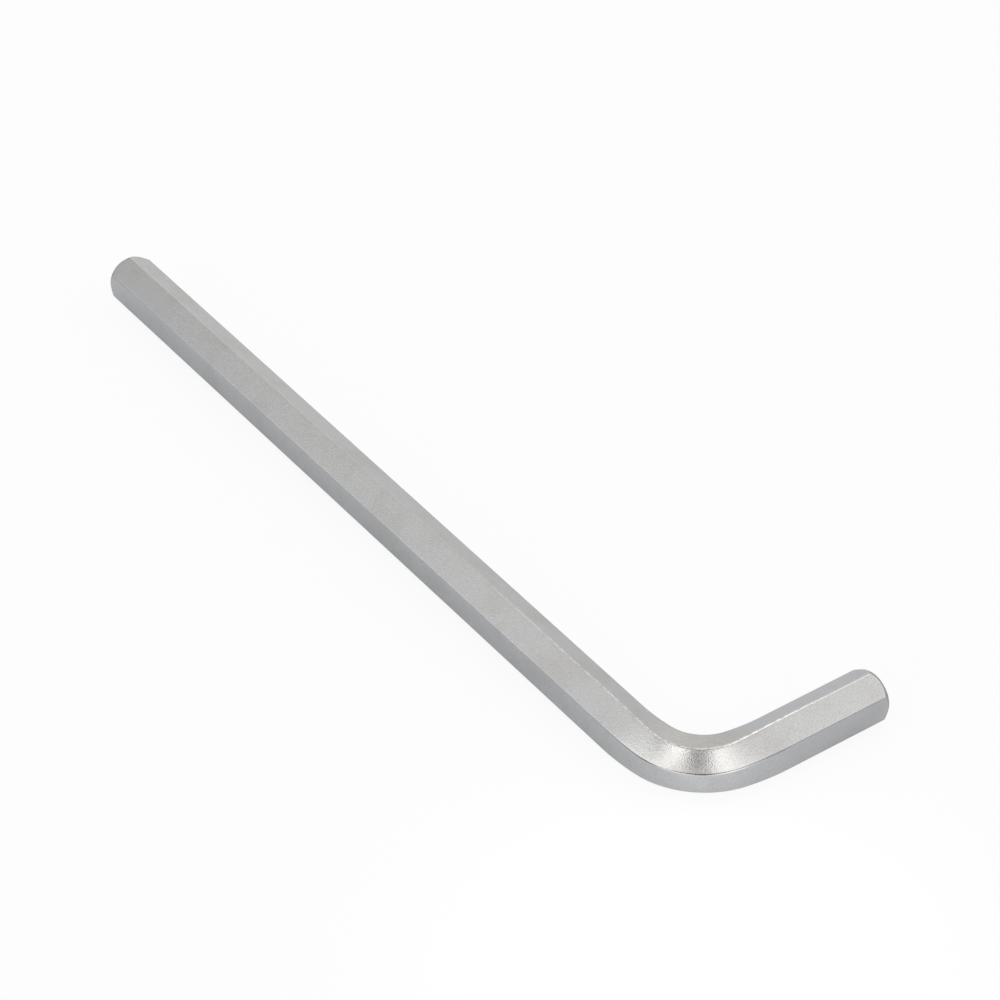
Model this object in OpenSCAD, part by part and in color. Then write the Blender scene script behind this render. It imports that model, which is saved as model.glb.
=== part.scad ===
// Hex key: one length of hexagon bar, bent once into an L and chamfered at both ends.
// It lies flat with one ridge of the bar down and the opposite ridge up, so that a flat
// faces the inside of the bend and the opposite flat faces the outside.

/* [Bar] */
// Width across the flats of the bar, which is the key's nominal size
across_flats = 14; // [8:0.5:19]
// Radius along the six edges of the bar
edge_radius = 0.9; // [0.2:0.1:1.6]

/* [Arms] */
// Length of the long arm, from its end to the outside of the short arm
long_arm = 294; // [150:1:400]
// Length of the short arm, from its end to the outside of the long arm
short_arm = 70; // [60:1:120]

/* [Bend] */
// Radius of the inner flat round the middle of the bend
bend_radius = 12; // [8:0.5:20]
// Radius of the inner flat where the bend eases into each arm
ease_radius = 64; // [30:1:80]
// Angle that the bar turns through while it eases
ease_angle = 10; // [4:1:14]

/* [Bar in the middle of the bend, where bending has changed its section] */
// How far the upper and lower ridges have moved outwards
ridge_shift = 1.5; // [0:0.1:2]
// How far those ridges have been pressed in
ridge_drop = 1; // [0:0.1:1.6]
// How much thicker the bar is at its inner flat, and again at its outer flat
spread = 0.5; // [0:0.1:1.2]
// How far each edge of the outer flat has been drawn in
outer_drop = 0.9; // [0:0.1:1.4]

/* [Ends] */
// How far the rim of each end face lies inside the flats
chamfer_inset = 0.6; // [0.2:0.1:2]
// Angle between the chamfer and the axis of its arm
chamfer_angle = 40; // [20:1:60]

/* [Hidden] */
$fn = 96;

// All points lie on a fine grid, so that the bend and the arms meet exactly
function on_grid(v) = round(v * 1000) / 1000;

// The section: six corners, each an arc in a few steps, with a corner straight up
corner_turn = 60;
corner_steps = 6;
flat_at = across_flats / 2;
arc_centre_at = (flat_at - edge_radius) / cos(corner_turn / 2);
half_height = on_grid(arc_centre_at + edge_radius);
flat_edge_height = flat_at * tan(corner_turn / 2);
section = [
    for (corner = [0:5], step = [0:corner_steps])
        let (
            corner_at = 90 + corner * corner_turn,
            arc_at = corner_at + (step / corner_steps - 0.5) * corner_turn
        )
        arc_centre_at * [cos(corner_at), sin(corner_at)] + edge_radius * [cos(arc_at), sin(arc_at)]
];
section_size = len(section);

// The bend, along the middle of the bar: a tight turn between two wide ones
middle_turn = 90 - 2 * ease_angle;
middle_line_radius = bend_radius + flat_at;
ease_line_radius = ease_radius + flat_at;
easing = ease_line_radius - middle_line_radius;
reach = on_grid(ease_line_radius + easing * (sin(ease_angle) - cos(ease_angle)));
ease_run = ease_line_radius * ease_angle * PI / 180;
middle_run = middle_line_radius * middle_turn * PI / 180;
ease_steps = 8;
middle_steps = 24;
stations = [
    for (i = [0:ease_steps - 1]) ease_angle * i / ease_steps,
    for (i = [0:middle_steps - 1]) ease_angle + middle_turn * i / middle_steps,
    for (i = [0:ease_steps]) 90 - ease_angle + ease_angle * i / ease_steps
];

// What the bend leaves straight of each arm, and the arms' axes
long_straight = long_arm - flat_at - reach;
short_straight = short_arm - flat_at - reach;
long_axis_y = flat_at - short_arm / 2;
short_axis_x = long_arm / 2 - flat_at;

// Middle of the bar where it has turned by an angle, from where the arms' axes cross
function line_at(angle) =
    let (
        outwards = [sin(angle), -cos(angle)],
        first_centre = [-reach, ease_line_radius],
        middle_centre = first_centre + easing * [sin(ease_angle), -cos(ease_angle)],
        last_centre = [-ease_line_radius, reach]
    )
    angle < ease_angle ? first_centre + ease_line_radius * outwards
    : angle <= 90 - ease_angle ? middle_centre + middle_line_radius * outwards
    : last_centre + ease_line_radius * outwards;

// Share of the bend's length that lies before that angle
function run_at(angle) =
    let (
        run = angle < ease_angle ? ease_run * angle / ease_angle
            : angle <= 90 - ease_angle ? ease_run + middle_run * (angle - ease_angle) / middle_turn
            : ease_run + middle_run + ease_run * (angle - 90 + ease_angle) / ease_angle
    )
    run / (2 * ease_run + middle_run);

// Point of the section, changed by bending: nothing at the ends of the bend, most in the middle
function pressed(point, angle) =
    let (
        change = pow(sin(180 * run_at(angle)), 2),
        across = point.x / flat_at,
        ridge_loss = ridge_drop / half_height,
        outer_loss = outer_drop / flat_edge_height,
        loss = ridge_loss * (1 - across * across) + outer_loss * across * (1 + across) / 2
    )
    [
        point.x + change * (ridge_shift * (1 - across * across) + spread * across),
        point.y * (1 - change * loss)
    ];

// The same point in space
function placed(point, angle) =
    let (at = line_at(angle) + pressed(point, angle).x * [sin(angle), -cos(angle)])
    [on_grid(at.x), on_grid(at.y), on_grid(pressed(point, angle).y)];

// Straight stretch of bar whose chamfered end face is at the origin
module arm(length) {
    rim_radius = flat_at - chamfer_inset;
    intersection() {
        linear_extrude(length) polygon([for (point = section) [on_grid(point.x), on_grid(point.y)]]);
        cylinder(h = length, r1 = rim_radius, r2 = rim_radius + length * tan(chamfer_angle));
    }
}

// Quarter turn of bar, from the long arm round to the short arm
module bend() {
    last_ring = (len(stations) - 1) * section_size;
    polyhedron(
        points = [for (angle = stations, point = section) placed(point, angle)],
        faces = concat(
            [[for (i = [section_size - 1:-1:0]) i]],
            [
                for (ring = [0:section_size:last_ring - 1], i = [0:section_size - 1])
                    let (next = (i + 1) % section_size)
                    each [
                        [ring + i, ring + next, ring + section_size + i],
                        [ring + next, ring + section_size + next, ring + section_size + i]
                    ]
            ],
            [[for (i = [0:section_size - 1]) last_ring + i]]
        )
    );
}

// The whole key, resting on its lowest ridge
module hex_key() {
    color("silver")
        translate([0, 0, half_height]) {
            translate([-long_arm / 2, long_axis_y, 0]) rotate([90, 0, 90]) arm(long_straight);
            translate([short_axis_x, long_axis_y, 0]) bend();
            translate([short_axis_x, short_arm / 2, 0]) rotate([90, 0, 0]) arm(short_straight);
        }
}

hex_key();
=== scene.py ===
# Hex key: a bent bar of plated steel, lying on a pale floor under soft studio light
from math import atan2, cos, pi, radians, sin, sqrt, tan

import bmesh
import bpy
from mathutils import Matrix, Vector


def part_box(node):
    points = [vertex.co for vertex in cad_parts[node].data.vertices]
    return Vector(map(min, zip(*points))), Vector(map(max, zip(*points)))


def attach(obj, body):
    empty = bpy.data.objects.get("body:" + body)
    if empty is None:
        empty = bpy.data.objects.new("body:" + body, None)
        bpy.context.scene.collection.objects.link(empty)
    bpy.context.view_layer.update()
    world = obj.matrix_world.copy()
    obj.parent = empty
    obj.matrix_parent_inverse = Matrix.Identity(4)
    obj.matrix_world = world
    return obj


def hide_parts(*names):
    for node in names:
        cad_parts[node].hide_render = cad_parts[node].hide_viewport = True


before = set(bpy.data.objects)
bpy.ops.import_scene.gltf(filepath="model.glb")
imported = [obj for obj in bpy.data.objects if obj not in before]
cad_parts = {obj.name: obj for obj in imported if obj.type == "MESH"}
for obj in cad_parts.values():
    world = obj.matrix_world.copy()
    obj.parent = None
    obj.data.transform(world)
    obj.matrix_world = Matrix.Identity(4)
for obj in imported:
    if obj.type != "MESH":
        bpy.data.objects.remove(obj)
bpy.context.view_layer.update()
print("frame loaded")

mm = 0.001


def addObject(name, data):
    new = bpy.data.objects.new(name, data)
    bpy.context.scene.collection.objects.link(new)
    return new


def addMesh(name, mesh):  # makes an object of a finished bmesh
    data = bpy.data.meshes.new(name)
    mesh.to_mesh(data)
    mesh.free()
    return addObject(name, data)


class Value:  # a node's output that sums and products can be written with
    def __init__(self, kit, socket):
        self.kit = kit
        self.socket = socket

    def maths(self, operation, first, second):
        return self.kit.add("ShaderNodeMath", {"operation": operation}, {0: first, 1: second})["Value"]

    def __add__(self, other):
        return self.maths("ADD", self, other)

    def __radd__(self, other):
        return self.maths("ADD", other, self)

    def __sub__(self, other):
        return self.maths("SUBTRACT", self, other)

    def __rsub__(self, other):
        return self.maths("SUBTRACT", other, self)

    def __mul__(self, other):
        return self.maths("MULTIPLY", self, other)

    def __rmul__(self, other):
        return self.maths("MULTIPLY", other, self)


class NodeKit:  # adds nodes to one tree
    def __init__(self, owner):
        owner.use_nodes = True
        self.tree = owner.node_tree
        self.tree.nodes.clear()

    def add(self, kind, settings, values):
        node = self.tree.nodes.new(kind)
        for name, setting in settings.items():
            setattr(node, name, setting)
        for key, value in values.items():
            if isinstance(value, Value):
                self.tree.links.new(value.socket, node.inputs[key])
            else:
                node.inputs[key].default_value = value
        return {socket.name: Value(self, socket) for socket in node.outputs if socket.enabled}

    def ramp(self, value, low, high):  # 0 below low, 1 above high, smooth between
        return self.add(
            "ShaderNodeMapRange",
            {"interpolation_type": "SMOOTHSTEP"},
            {"Value": value, "From Min": low, "From Max": high, "To Min": 0.0, "To Max": 1.0},
        )["Result"]

    def noise(self, where, size, detail=1.0, roughness=0.5):  # 0 to 1, in spots of about this size
        return self.add(
            "ShaderNodeTexNoise",
            {},
            {"Vector": where, "Scale": 1 / size, "Detail": detail, "Roughness": roughness},
        )["Fac"]

    def attribute(self, name):
        return self.add("ShaderNodeAttribute", {"attribute_name": name}, {})["Fac"]

    def vector(self, operation, values):
        return self.add("ShaderNodeVectorMath", {"operation": operation}, values)

    def mixColour(self, share, first, second):
        values = {0: share, 6: first, 7: second}  # the sockets for colours
        return self.add("ShaderNodeMix", {"data_type": "RGBA"}, values)["Result"]


# The camera

studioCamera = {
    "place": (0.68700, -0.46091, 0.66799),
    "turn": (51.068, 0.906, 54.836),  # degrees about X, Y and Z
    "lens": 131.41,  # mm, like the sensor's width
    "sensor": 36.0,
}


def makeCamera(spec):
    data = bpy.data.cameras.new("studioCamera")
    data.lens = spec["lens"]
    data.sensor_width = spec["sensor"]
    camera = addObject("studioCamera", data)
    camera.location = spec["place"]
    camera.rotation_euler = [radians(angle) for angle in spec["turn"]]
    bpy.context.scene.camera = camera
    return camera


camera = makeCamera(studioCamera)
bpy.context.view_layer.update()
cameraBack = camera.matrix_world.to_3x3().col[2]
up = Vector((0, 0, 1))
towardsCamera = Vector((cameraBack.x, cameraBack.y, 0)).normalized()
rightOfCamera = up.cross(towardsCamera)
print("camera set")


# The bar

keyBar = {
    "acrossFlats": 14.0 * mm,
    "edgeRadius": 0.9 * mm,
    "edgeSteps": 8,
    "sideRidge": 0.25,  # how much the four edges at the sides count as ridges
    "flatCuts": 11,  # across each flat, so that the chamfer's curve is smooth
    "bendInside": 12.0 * mm,  # radius of the inner flat round the middle of the bend
    "easeInside": 64.0 * mm,  # and where it eases into the arms
    "easeAngle": radians(10),
    "bendStep": radians(0.5),
    "bendSlack": radians(0.01),  # so that the rings between two arcs are found
    "ridgeShift": 1.5 * mm,  # in the middle of the bend the ridges have moved outwards
    "ridgeDrop": 1.0 * mm,  # and have been pressed in
    "spread": 0.5 * mm,  # the bar is thicker at its inner flat and at its outer flat
    "outerDrop": 0.9 * mm,  # and each edge of the outer flat has been drawn in
    "rimInset": 0.6 * mm,  # the end face's rim lies this far inside the flats
    "chamferAngle": radians(40),
    "softEdge": 0.12 * mm,  # how far the worn edges round the chamfer reach to each side
    "softSteps": 3,
    "collar": 2.5 * mm,  # a ring this far behind each end keeps the flats' shading straight
    "cutFacing": 0.3,  # a face that looks this much along the bar is part of its cut end
}


def faceIn(parts):
    return [part for part in parts if isinstance(part, bmesh.types.BMFace)][0]


def vertsIn(parts):
    return [part for part in parts if isinstance(part, bmesh.types.BMVert)]


def sectionFace(mesh, spec, place):  # the bar's section, with a corner up, facing along X
    ridge = mesh.verts.layers.float.new("ridge")  # 1 along the top and bottom edges
    turn = Matrix(((0, 0, 1), (1, 0, 0), (0, 1, 0))).to_4x4()
    bmesh.ops.create_circle(
        mesh,
        cap_ends=True,
        segments=6,
        radius=spec["acrossFlats"] / sqrt(3),
        matrix=Matrix.Translation(place) @ turn,
    )
    bmesh.ops.bevel(
        mesh,
        geom=mesh.verts[:],
        offset=spec["edgeRadius"] / tan(pi / 3),
        segments=spec["edgeSteps"],
        profile=0.5,
        affect="VERTICES",
        material=-1,
    )
    reaches = {vert: (vert.co - place).length for vert in mesh.verts}
    least = min(reaches.values())
    most = max(reaches.values())
    for vert, reach in reaches.items():
        upright = abs(vert.co.z - place.z) > spec["acrossFlats"] / 3
        vert[ridge] = (reach - least) / (most - least) * (1.0 if upright else spec["sideRidge"])
    flats = [edge for edge in mesh.edges if edge.calc_length() > spec["edgeRadius"]]
    cuts = bmesh.ops.subdivide_edges(mesh, edges=flats, cuts=spec["flatCuts"])["geom_inner"]
    for vert in vertsIn(cuts):
        vert[ridge] = 0
    mesh.faces.ensure_lookup_table()
    return mesh.faces[0]


def pushOn(mesh, face, step, keepOld=False):  # lengthens the bar and gives its new end face
    grown = bmesh.ops.extrude_face_region(mesh, geom=[face])["geom"]
    bmesh.ops.translate(mesh, vec=step, verts=vertsIn(grown))
    if not keepOld:
        bmesh.ops.delete(mesh, geom=[face], context="FACES_ONLY")
    return faceIn(grown)


def turnOn(mesh, face, arc, spec):  # carries the bar round an arc, to the left
    spun = bmesh.ops.spin(
        mesh,
        geom=[face] + face.edges[:] + face.verts[:],
        cent=arc["centre"],
        axis=up,
        angle=arc["to"] - arc["from"],
        steps=round((arc["to"] - arc["from"]) / spec["bendStep"]),
        use_duplicate=False,
    )["geom_last"]
    return faceIn(spun)


def shapeEnd(mesh, rimRing, creaseRing, centre, inwards, spec):  # a cone round a flat end face
    rim = spec["acrossFlats"] / 2 - spec["rimInset"]
    slope = tan(spec["chamferAngle"])
    for vert in creaseRing:
        vert.co += inwards * ((vert.co - centre).length - rim) / slope
    for vert in rimRing:
        vert.co = centre + (vert.co - centre).normalized() * rim
    rings = (set(rimRing), set(creaseRing))
    sharp = [edge for edge in mesh.edges if any(set(edge.verts) <= ring for ring in rings)]
    bmesh.ops.bevel(
        mesh,
        geom=sharp,
        offset=spec["softEdge"],
        segments=spec["softSteps"],
        profile=0.5,
        affect="EDGES",
        material=-1,
    )
    cut = mesh.faces.layers.float.get("cut") or mesh.faces.layers.float.new("cut")
    mesh.normal_update()
    for face in mesh.faces:
        depth = (face.calc_center_median() - centre).dot(inwards)
        if depth < spec["collar"] and abs(face.normal.dot(inwards)) > spec["cutFacing"]:
            face[cut] = 1


def pressBend(mesh, arcs, spec):  # bending has changed the section, most in the middle of the bend
    half = spec["acrossFlats"] / 2
    slack = spec["bendSlack"]
    ridgeHeight = (half - spec["edgeRadius"]) / cos(pi / 6) + spec["edgeRadius"]
    ridgeLoss = spec["ridgeDrop"] / ridgeHeight
    outerLoss = spec["outerDrop"] / (half * tan(pi / 6))
    wholeRun = sum(arc["radius"] * (arc["to"] - arc["from"]) for arc in arcs)
    runBefore = 0
    pressed = set()
    for arc in arcs:
        for vert in mesh.verts:
            out = vert.co - arc["centre"]
            turned = atan2(out.x, -out.y)
            if vert in pressed or not arc["from"] - slack <= turned <= arc["to"] + slack:
                continue
            pressed.add(vert)
            run = runBefore + arc["radius"] * (turned - arc["from"])
            change = sin(pi * run / wholeRun) ** 2
            radial = Vector((out.x, out.y, 0)).normalized()
            across = (out.dot(radial) - arc["radius"]) / half
            loss = ridgeLoss * (1 - across**2) + outerLoss * across * (1 + across) / 2
            vert.co += radial * change * (spec["ridgeShift"] * (1 - across**2) + spec["spread"] * across)
            vert.co.z -= out.z * change * loss
        runBefore += arc["radius"] * (arc["to"] - arc["from"])


def makeBar(spec, low, high):
    half = spec["acrossFlats"] / 2
    midRadius = spec["bendInside"] + half
    easeRadius = spec["easeInside"] + half
    easing = easeRadius - midRadius
    ease = spec["easeAngle"]
    quarter = pi / 2
    reach = easeRadius + easing * (sin(ease) - cos(ease))
    east = Vector((1, 0, 0))
    north = Vector((0, 1, 0))
    height = (low.z + high.z) / 2
    longEnd = Vector((low.x, low.y + half, height))
    corner = Vector((high.x - half, low.y + half, height))
    shortEnd = Vector((high.x - half, high.y, height))
    bendStart = corner - east * reach
    bendEnd = corner + north * reach
    firstCentre = bendStart + north * easeRadius
    midCentre = corner + (north - east) * (easeRadius - easing * cos(ease))
    lastCentre = bendEnd - east * easeRadius
    arcs = [
        {"centre": firstCentre, "radius": easeRadius, "from": 0, "to": ease},
        {"centre": midCentre, "radius": midRadius, "from": ease, "to": quarter - ease},
        {"centre": lastCentre, "radius": easeRadius, "from": quarter - ease, "to": quarter},
    ]

    mesh = bmesh.new()
    face = sectionFace(mesh, spec, longEnd)
    longRim = face.verts[:]
    face = pushOn(mesh, face, Vector(), keepOld=True)
    longCrease = face.verts[:]
    face = pushOn(mesh, face, east * spec["collar"])
    face = pushOn(mesh, face, bendStart - longEnd - east * spec["collar"])
    for arc in arcs:
        face = turnOn(mesh, face, arc, spec)
    face = pushOn(mesh, face, shortEnd - bendEnd - north * spec["collar"])
    face = pushOn(mesh, face, north * spec["collar"])
    shortCrease = face.verts[:]
    face = pushOn(mesh, face, Vector())
    shortRim = face.verts[:]
    pressBend(mesh, arcs, spec)
    shapeEnd(mesh, longRim, longCrease, longEnd, east, spec)
    shapeEnd(mesh, shortRim, shortCrease, shortEnd, -north, spec)
    bmesh.ops.recalc_face_normals(mesh, faces=mesh.faces[:])
    for each in mesh.faces:
        each.smooth = True
    bar = addMesh("bentBar", mesh)
    bar.modifiers.new("flatNormals", "WEIGHTED_NORMAL")
    return bar


lowCorner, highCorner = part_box("hex_key")
bar = makeBar(keyBar, lowCorner, highCorner)
print("bar made:", len(bar.data.polygons), "faces")


# The plated finish

plating = {
    "colour": (0.50, 0.50, 0.497, 1.0),
    "roughness": 0.20,
    "grain": 0.42 * mm,  # size of the fine pits left by blasting
    "grainDepth": 0.035 * mm,
    "grainRange": (0.3, 0.7),  # noise in the darkest grain and in the lightest
    "speckle": 0.12,  # how much those two differ in shade
    "cloud": 14.0 * mm,  # size of the patches where the plating is a little duller
    "cloudDetail": 4.0,
    "cloudRoughness": 0.6,  # of the noise that places them
    "cloudRange": (0.42, 0.70),  # noise at a patch's rim and in its middle
    "dullColour": (0.47, 0.465, 0.455, 1.0),
    "dullRoughness": 0.23,
    "ridgeHighlightColour": (0.70, 0.70, 0.69, 1.0),  # painted highlight: the ridges are painted this lighter colour
    "ridgeRoughness": 0.15,  # and smooth
    "pitFade": (0.0, 0.2),  # the pits fade out over this part of the way up a ridge
    "dash": 1.1 * mm,  # the painted ridge highlight comes in short dashes of about this length
    "dashRange": (0.38, 0.55),  # noise between the dashes and in them
    "betweenDashes": 0.2,  # share of the painted highlight that there is between them
    "ridgeHighlightRange": (20.0 * mm, 105.0 * mm),  # along X: little painted highlight before it and full after it
    "leastHighlight": 0.1,
    "highlightFadeRange": (4.0 * mm, 24.0 * mm),  # along Y: the painted highlight fades here, out on the short arm
    "highlightFade": 0.9,  # and this share of it is missing at the end
    "cutShade": 0.68,  # the ground chamfers and end faces keep this share of the colour
    "cutRoughness": 0.30,
}


def makePlating(spec):
    material = bpy.data.materials.new("satinPlating")
    kit = NodeKit(material)
    where = kit.add("ShaderNodeTexCoord", {}, {})["Object"]
    along = kit.add("ShaderNodeSeparateXYZ", {}, {"Vector": where})
    grain = kit.noise(where, spec["grain"])
    cloud = kit.noise(where, spec["cloud"], spec["cloudDetail"], spec["cloudRoughness"])
    dash = kit.ramp(kit.noise(where, spec["dash"]), *spec["dashRange"])
    ridge = kit.attribute("ridge")
    cut = kit.attribute("cut")

    least = spec["leastHighlight"]
    between = spec["betweenDashes"]
    highlightAlong = least + (1 - least) * kit.ramp(along["X"], *spec["ridgeHighlightRange"])
    highlightFade = spec["highlightFade"] * kit.ramp(along["Y"], *spec["highlightFadeRange"])
    # mask of the painted highlight: ridges painted lighter, in dashes, faded along X and along Y
    ridgeHighlight = ridge * ridge * highlightAlong * (1 - highlightFade) * (between + (1 - between) * dash)
    dull = kit.ramp(cloud, *spec["cloudRange"])

    flatColour = kit.mixColour(dull, spec["colour"], spec["dullColour"])
    # the painted ridge highlight is mixed into the colour here
    plain = kit.mixColour(ridgeHighlight, flatColour, spec["ridgeHighlightColour"])
    speckle = spec["speckle"] * (kit.ramp(grain, *spec["grainRange"]) - 0.5)
    shade = 1 + speckle - (1 - spec["cutShade"]) * cut
    colour = kit.vector("SCALE", {0: plain, "Scale": shade})["Vector"]

    duller = (spec["dullRoughness"] - spec["roughness"]) * dull
    smoother = (spec["roughness"] - spec["ridgeRoughness"]) * ridgeHighlight
    rougher = (spec["cutRoughness"] - spec["roughness"]) * cut
    roughness = spec["roughness"] + duller - smoother + rougher

    depth = spec["grainDepth"] * (1 - kit.ramp(ridge, *spec["pitFade"]))
    bump = kit.add("ShaderNodeBump", {}, {"Strength": 1.0, "Distance": depth, "Height": grain})["Normal"]
    shader = kit.add(
        "ShaderNodeBsdfPrincipled",
        {},
        {"Base Color": colour, "Metallic": 1.0, "Roughness": roughness, "Normal": bump},
    )["BSDF"]
    kit.add("ShaderNodeOutputMaterial", {}, {"Surface": shader})
    return material


bar.data.materials.append(makePlating(plating))
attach(bar, "root")
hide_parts("hex_key")
print("plating done")


# The floor

paleFloor = {
    "width": 12.0,
    "colour": (0.705, 0.722, 0.755, 1.0),
    "paper": (1.0, 1.0, 1.0, 1.0),
    "seenWhite": 0.92,  # how far the camera sees the floor as plain white paper
    "mirroredWhite": 0.15,  # and how far the metal does
}


def makeFloor(spec):
    mesh = bmesh.new()
    bmesh.ops.create_grid(mesh, x_segments=1, y_segments=1, size=spec["width"] / 2)
    floor = addMesh("floor", mesh)
    material = bpy.data.materials.new("palePaper")
    kit = NodeKit(material)
    matt = kit.add("ShaderNodeBsdfDiffuse", {}, {"Color": spec["colour"]})["BSDF"]
    white = kit.add("ShaderNodeEmission", {}, {"Color": spec["paper"], "Strength": 1.0})["Emission"]
    path = kit.add("ShaderNodeLightPath", {}, {})
    share = spec["seenWhite"] * path["Is Camera Ray"] + spec["mirroredWhite"] * path["Is Glossy Ray"]
    shader = kit.add("ShaderNodeMixShader", {}, {0: share, 1: matt, 2: white})["Shader"]
    kit.add("ShaderNodeOutputMaterial", {}, {"Surface": shader})
    floor.data.materials.append(material)
    return floor


floor = makeFloor(paleFloor)


# The light: softboxes in a dark room, with a gap where the camera stands

softboxes = {
    # bearing from the camera, height and radius in degrees, and the light in the middle
    "frontRightLow": (30, 5, 30, (2.4, 2.45, 2.45)),
    "frontLeftLow": (-30, 5, 30, (1.65, 1.7, 1.8)),
    "leftLow": (-97, 14, 32, (0.70, 0.73, 0.80)),
    "backRightLow": (150, 5, 30, (0.24, 0.24, 0.24)),
    "leftSide": (-72, 45, 24, (1.33, 1.32, 1.3)),
    "leftBackSide": (-108, 45, 24, (1.04, 1.04, 1.04)),
    "backSide": (180, 30, 24, (0.12, 0.11, 0.10)),
    "frontTop": (12, 56, 20, (0.85, 0.85, 0.85)),
    "rightTop": (42, 62, 20, (1.08, 1.06, 1.03)),
    "leftTop": (-45, 62, 20, (1.57, 1.54, 1.49)),
    "frontLeft": (-48, 32, 18, (1.2, 1.2, 1.2)),
    "backTop": (180, 60, 20, (0.85, 0.85, 0.85)),
    "leftBackTop": (-128, 68, 14, (1.3, 1.3, 1.3)),
    "rightBackTop": (135, 72, 12, (1.2, 1.2, 1.2)),
    "backRight": (142, 58, 16, (1.35, 1.35, 1.33)),
    "backLeft": (-141, 50, 13, (0.7, 0.7, 0.7)),
    "rightCeiling": (28, 76, 12, (0.95, 0.95, 0.95)),
    "leftCeiling": (-72, 76, 12, (2.0, 2.05, 2.1)),
    "rightWide": (98, 22, 48, (0.80, 0.81, 0.82)),
    "rightSide": (74, 8, 20, (0.35, 0.35, 0.35)),
    "backWide": (-174, 16, 50, (0.92, 0.89, 0.85)),
    "rightHighWide": (90, 55, 45, (0.78, 0.77, 0.76)),
}
studioRoom = {
    "light": (0.01, 0.01, 0.01),
    "card": (-12, 74, 10),  # a dark card overhead: bearing, height and radius
    "cardShade": 0.85,  # share of the light that it takes
}


def skyDirection(bearing, height):
    level = towardsCamera * cos(radians(bearing)) + rightOfCamera * sin(radians(bearing))
    return level * cos(radians(height)) + up * sin(radians(height))


def makeStudio(boxes, room):
    world = bpy.data.worlds.new("studio")
    bpy.context.scene.world = world
    kit = NodeKit(world)
    direction = kit.add("ShaderNodeTexCoord", {}, {})["Generated"]

    def shareOf(bearing, height, radius):  # 1 in the middle of a round box or card, 0 from its rim on
        towards = kit.vector("DOT_PRODUCT", {0: direction, 1: skyDirection(bearing, height)})["Value"]
        return kit.ramp(towards, cos(radians(radius)), 1.0)

    light = room["light"]
    for bearing, height, radius, glow in boxes.values():
        boxLight = kit.vector("SCALE", {0: glow, "Scale": shareOf(bearing, height, radius)})["Vector"]
        light = kit.vector("ADD", {0: light, 1: boxLight})["Vector"]
    passed = 1 - room["cardShade"] * shareOf(*room["card"])
    light = kit.vector("SCALE", {0: light, "Scale": passed})["Vector"]
    background = kit.add("ShaderNodeBackground", {}, {"Color": light, "Strength": 1.0})["Background"]
    kit.add("ShaderNodeOutputWorld", {}, {"Surface": background})


makeStudio(softboxes, studioRoom)


floorFill = {  # a small lamp over the floor in front of the bend, for what its outer flat mirrors
    "forward": 50.0 * mm,
    "up": 50.0 * mm,
    "size": 40.0 * mm,
    "colour": (1.0, 0.98, 0.95),
    "power": 0.048,
}


def makeFill(spec, bend):
    data = bpy.data.lights.new("floorFill", "AREA")
    data.size = spec["size"]
    data.energy = spec["power"]
    data.color = spec["colour"]
    lamp = addObject("floorFill", data)
    lamp.location = bend + towardsCamera * spec["forward"] + up * spec["up"]
    lamp.visible_camera = False
    lamp.visible_glossy = False


makeFill(floorFill, Vector((highCorner.x, lowCorner.y, 0)))
bpy.context.scene.view_settings.view_transform = "Standard"
print("light set")
